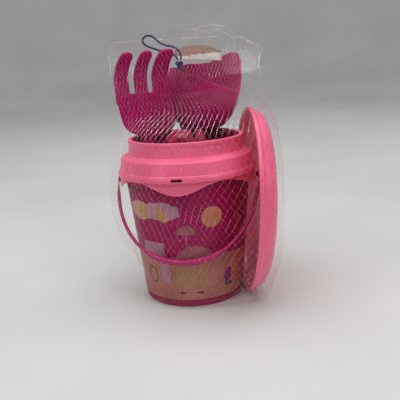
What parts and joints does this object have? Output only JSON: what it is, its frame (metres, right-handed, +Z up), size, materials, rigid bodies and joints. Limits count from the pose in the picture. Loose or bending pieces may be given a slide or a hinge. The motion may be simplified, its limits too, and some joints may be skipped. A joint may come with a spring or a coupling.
{
  "type": "beach bucket set",
  "caption": "Tapered beach bucket with stepped collar and swinging bail, packed with rake, scoop, sand moulds and a sieve dish inside a drawstring net.",
  "frame": {"origin": "centre of the bucket's flat underside", "axes": "+Z up along the bucket's axis, -Y towards the bucket's printed front, X along the bail's pivot line with the sieve on the +X side"},
  "size_m": [0.1944, 0.2144, 0.2879],
  "materials": {
    "magenta_plastic": "semi-gloss moulded",
    "pink_plastic": "semi-gloss moulded",
    "mould_plastic": "semi-gloss moulded",
    "printed_film": "satin",
    "net_filament": "glossy filament",
    "cord_fibre": "matt",
    "tag_card": "matt"
  },
  "bodies": {
    "bucket": {"bucket_body": "magenta_plastic", "printed_label": "printed_film", "collar_ring": "pink_plastic"},
    "bail": {"bail_handle": "magenta_plastic"},
    "sieve_dish": {"sieve": "pink_plastic"},
    "rake_tool": {"rake": "magenta_plastic"},
    "scoop_tool": {"scoop": "magenta_plastic"},
    "shell_toy": {"shell_mould": "mould_plastic"},
    "star_toy": {"star_mould": "mould_plastic"},
    "net": {"net_bag": "net_filament", "drawcord": "cord_fibre", "cord_knot": "cord_fibre", "hang_tag": "tag_card"}
  },
  "joints": [
    {"name": "bail_hinge", "type": "hinge", "parent": "bucket", "child": "bail", "pos_m": [0, 0, 0.133], "axis": [-1, 0, 0], "range_deg": [0, 138]},
    {"name": "sieve_slide", "type": "slide", "parent": "bucket", "child": "sieve_dish", "axis": [0.9903, 0.1392, 0], "range_m": [0, 0.1]},
    {"name": "rake_slide", "type": "slide", "parent": "bucket", "child": "rake_tool", "axis": [0, 0, 1], "range_m": [0, 0.36]},
    {"name": "scoop_slide", "type": "slide", "parent": "bucket", "child": "scoop_tool", "axis": [0, 0, 1], "range_m": [0, 0.36]},
    {"name": "shell_slide", "type": "slide", "parent": "bucket", "child": "shell_toy", "axis": [0, 0, 1], "range_m": [0, 0.36]},
    {"name": "star_slide", "type": "slide", "parent": "bucket", "child": "star_toy", "axis": [0, 0, 1], "range_m": [0, 0.36]},
    {"name": "net_slide", "type": "slide", "parent": "bucket", "child": "net", "axis": [0, 0, 1], "range_m": [0, 0.36], "deforming": ["net_bag", "drawcord", "cord_knot", "hang_tag"]}
  ]
}
